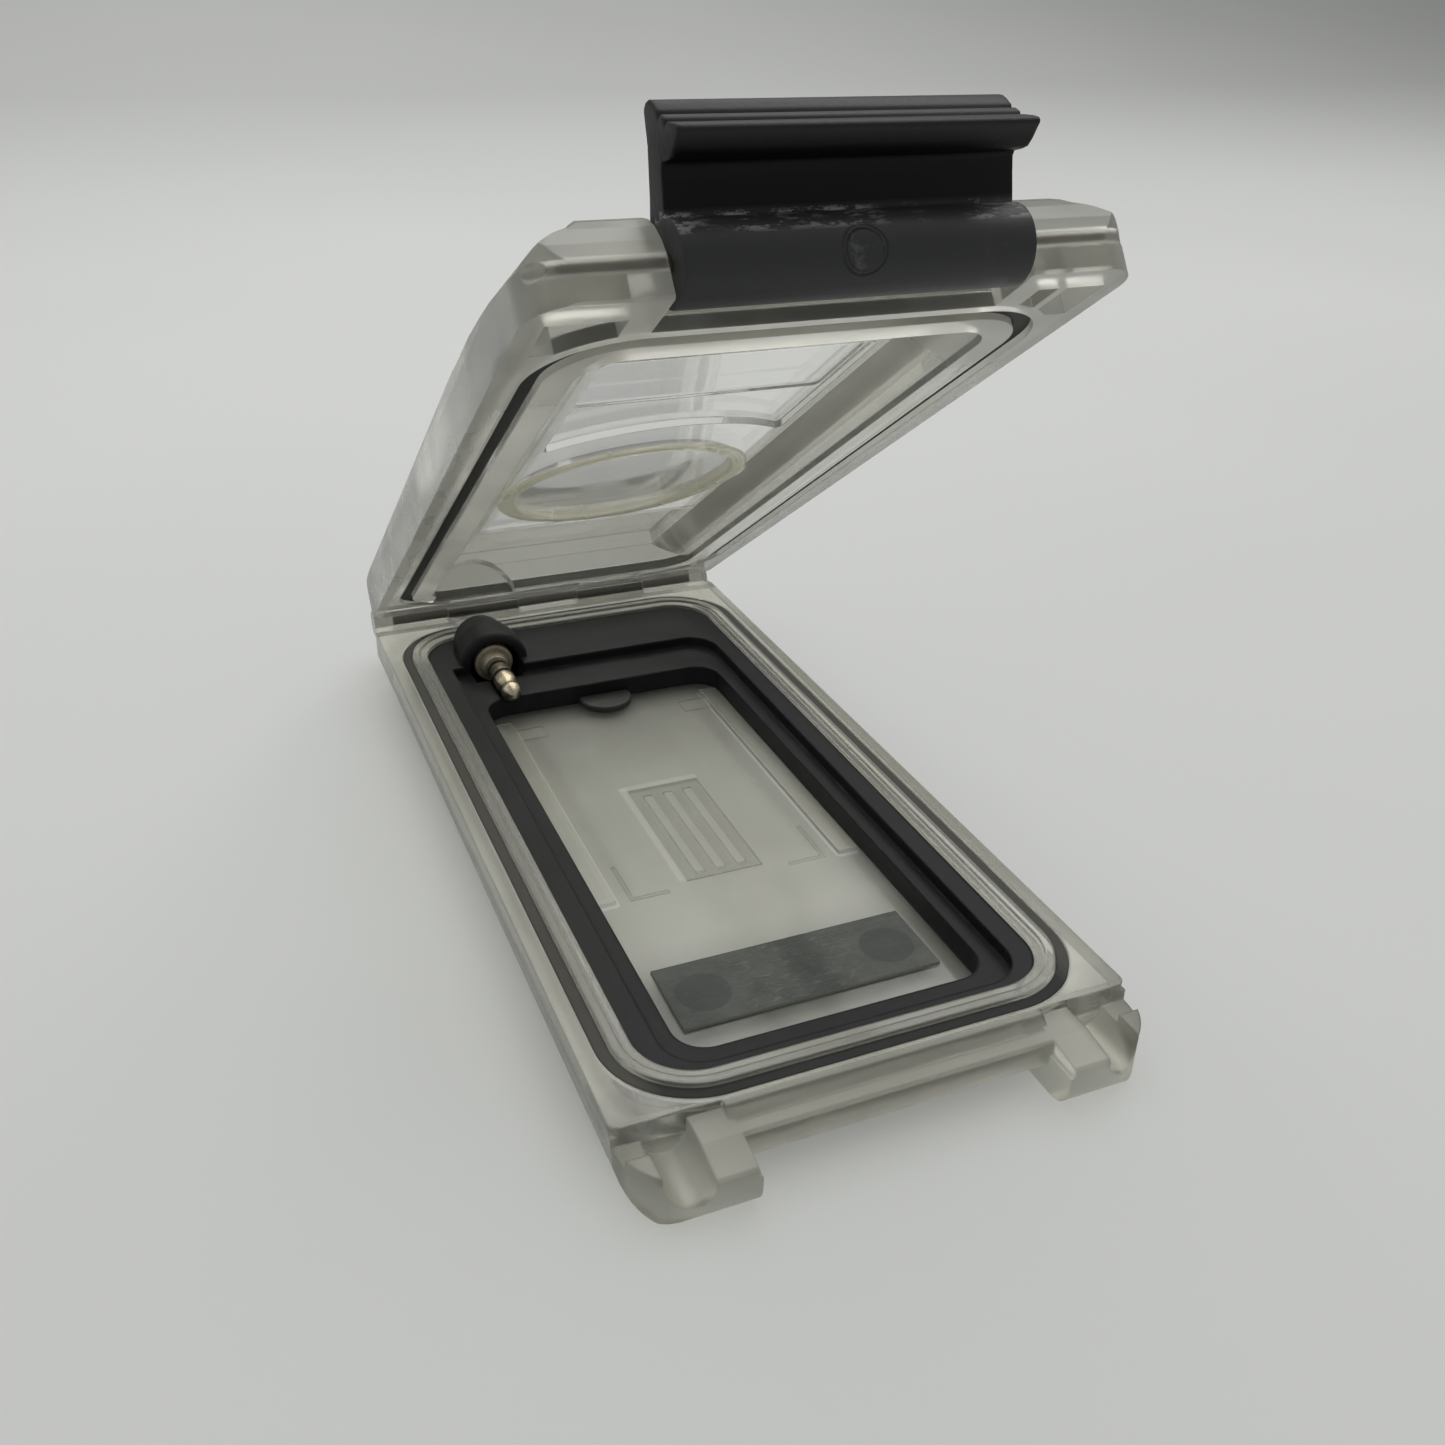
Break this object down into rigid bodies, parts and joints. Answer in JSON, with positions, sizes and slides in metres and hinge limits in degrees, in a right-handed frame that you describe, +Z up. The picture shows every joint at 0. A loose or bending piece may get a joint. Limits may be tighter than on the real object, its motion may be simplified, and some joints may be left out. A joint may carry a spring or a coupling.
{
  "type": "waterproof music player case",
  "caption": "Clear hinged waterproof case for a small music player, with a rubber tray liner, headphone plug, round control membrane, gaskets and a hook latch.",
  "frame": {"origin": "centre of the base's flat underside, halfway between the shells' front and back walls", "axes": "+Z up, +Y towards the hinge, latch at -Y, +X to the right seen from the latch side"},
  "size_m": [0.062, 0.1383, 0.0984],
  "materials": {
    "clear_shell": "clear polycarbonate, polished faces with lightly frosted edges",
    "gasket": "satin",
    "liner_rubber": "satin",
    "plug_metal": "polished nickel",
    "black_plastic": "satin",
    "felt": "speckled felt",
    "felt_dark": "felt",
    "membrane": "thin clear film",
    "ring_rubber": "yellowed translucent rubber",
    "latch_plastic": "satin, lightly scuffed",
    "steel": "dull, slightly stained"
  },
  "bodies": {
    "base": {"base_shell": "clear_shell", "base_seal": "gasket", "liner": "liner_rubber", "plug_collar": "plug_metal", "plug_sleeve": "plug_metal", "plug_ring": "plug_metal", "plug_tip": "plug_metal", "plug_insulators": "black_plastic", "output_socket": "black_plastic", "floor_strip": "felt", "strip_dots": "felt_dark", "floor_bung": "liner_rubber", "hinge_pin": "steel"},
    "lid": {"lid_shell": "clear_shell", "lid_seal": "gasket", "wheel_membrane": "membrane", "membrane_ring": "ring_rubber", "latch_pin": "steel"},
    "latch": {"latch": "latch_plastic"}
  },
  "joints": [
    {"name": "lid_hinge", "type": "hinge", "parent": "base", "child": "lid", "pos_m": [0, 0.06505, 0.0076], "axis": [1, 0, 0], "range_deg": [-96, 34.1]},
    {"name": "latch_pivot", "type": "hinge", "parent": "lid", "child": "latch", "pos_m": [0, -0.04352, 0.08582], "axis": [1, 0, 0], "range_deg": [-45, 157]}
  ]
}
